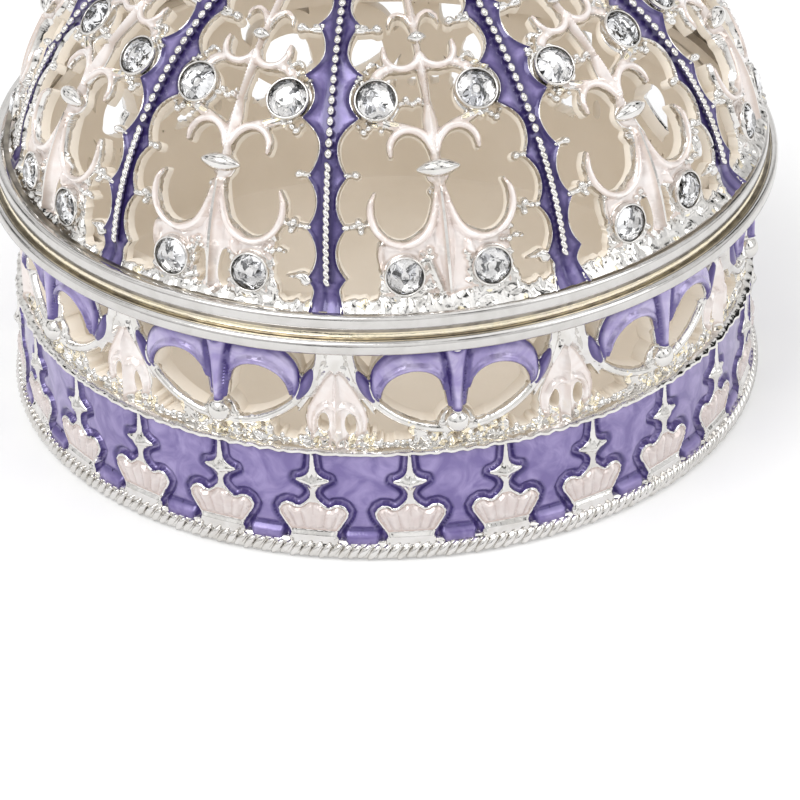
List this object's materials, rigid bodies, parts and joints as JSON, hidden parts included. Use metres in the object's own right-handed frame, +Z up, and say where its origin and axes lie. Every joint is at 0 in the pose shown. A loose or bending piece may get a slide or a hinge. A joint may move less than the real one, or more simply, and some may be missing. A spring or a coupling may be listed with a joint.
{
  "type": "crown trinket box",
  "caption": "Small round openwork trinket box shaped as a crown, with an enamelled ribbed dome for a lift-off lid, set with clear round stones.",
  "frame": {"origin": "middle of the flat underside", "axes": "+Z up through the orb and cross; -Y is the front"},
  "size_m": [0.0614, 0.0614, 0.0521],
  "materials": {
    "silver_plate": "bright silver plate with purple and pink enamel",
    "clear_glass": "clear faceted glass"
  },
  "bodies": {
    "root": {"base": "silver_plate", "lid": "silver_plate", "stone_low_left_01": "clear_glass", "stone_low_left_02": "clear_glass", "stone_low_left_03": "clear_glass", "stone_low_left_04": "clear_glass", "stone_low_left_05": "clear_glass", "stone_low_left_06": "clear_glass", "stone_low_left_07": "clear_glass", "stone_low_left_08": "clear_glass", "stone_low_left_09": "clear_glass", "stone_low_left_10": "clear_glass", "stone_low_right_01": "clear_glass", "stone_low_right_02": "clear_glass", "stone_low_right_03": "clear_glass", "stone_low_right_04": "clear_glass", "stone_low_right_05": "clear_glass", "stone_low_right_06": "clear_glass", "stone_low_right_07": "clear_glass", "stone_low_right_08": "clear_glass", "stone_low_right_09": "clear_glass", "stone_low_right_10": "clear_glass", "stone_mid_left_01": "clear_glass", "stone_mid_left_02": "clear_glass", "stone_mid_left_03": "clear_glass", "stone_mid_left_04": "clear_glass", "stone_mid_left_05": "clear_glass", "stone_mid_left_06": "clear_glass", "stone_mid_left_07": "clear_glass", "stone_mid_left_08": "clear_glass", "stone_mid_left_09": "clear_glass", "stone_mid_left_10": "clear_glass", "stone_mid_right_01": "clear_glass", "stone_mid_right_02": "clear_glass", "stone_mid_right_03": "clear_glass", "stone_mid_right_04": "clear_glass", "stone_mid_right_05": "clear_glass", "stone_mid_right_06": "clear_glass", "stone_mid_right_07": "clear_glass", "stone_mid_right_08": "clear_glass", "stone_mid_right_09": "clear_glass", "stone_mid_right_10": "clear_glass"}
  },
  "joints": []
}
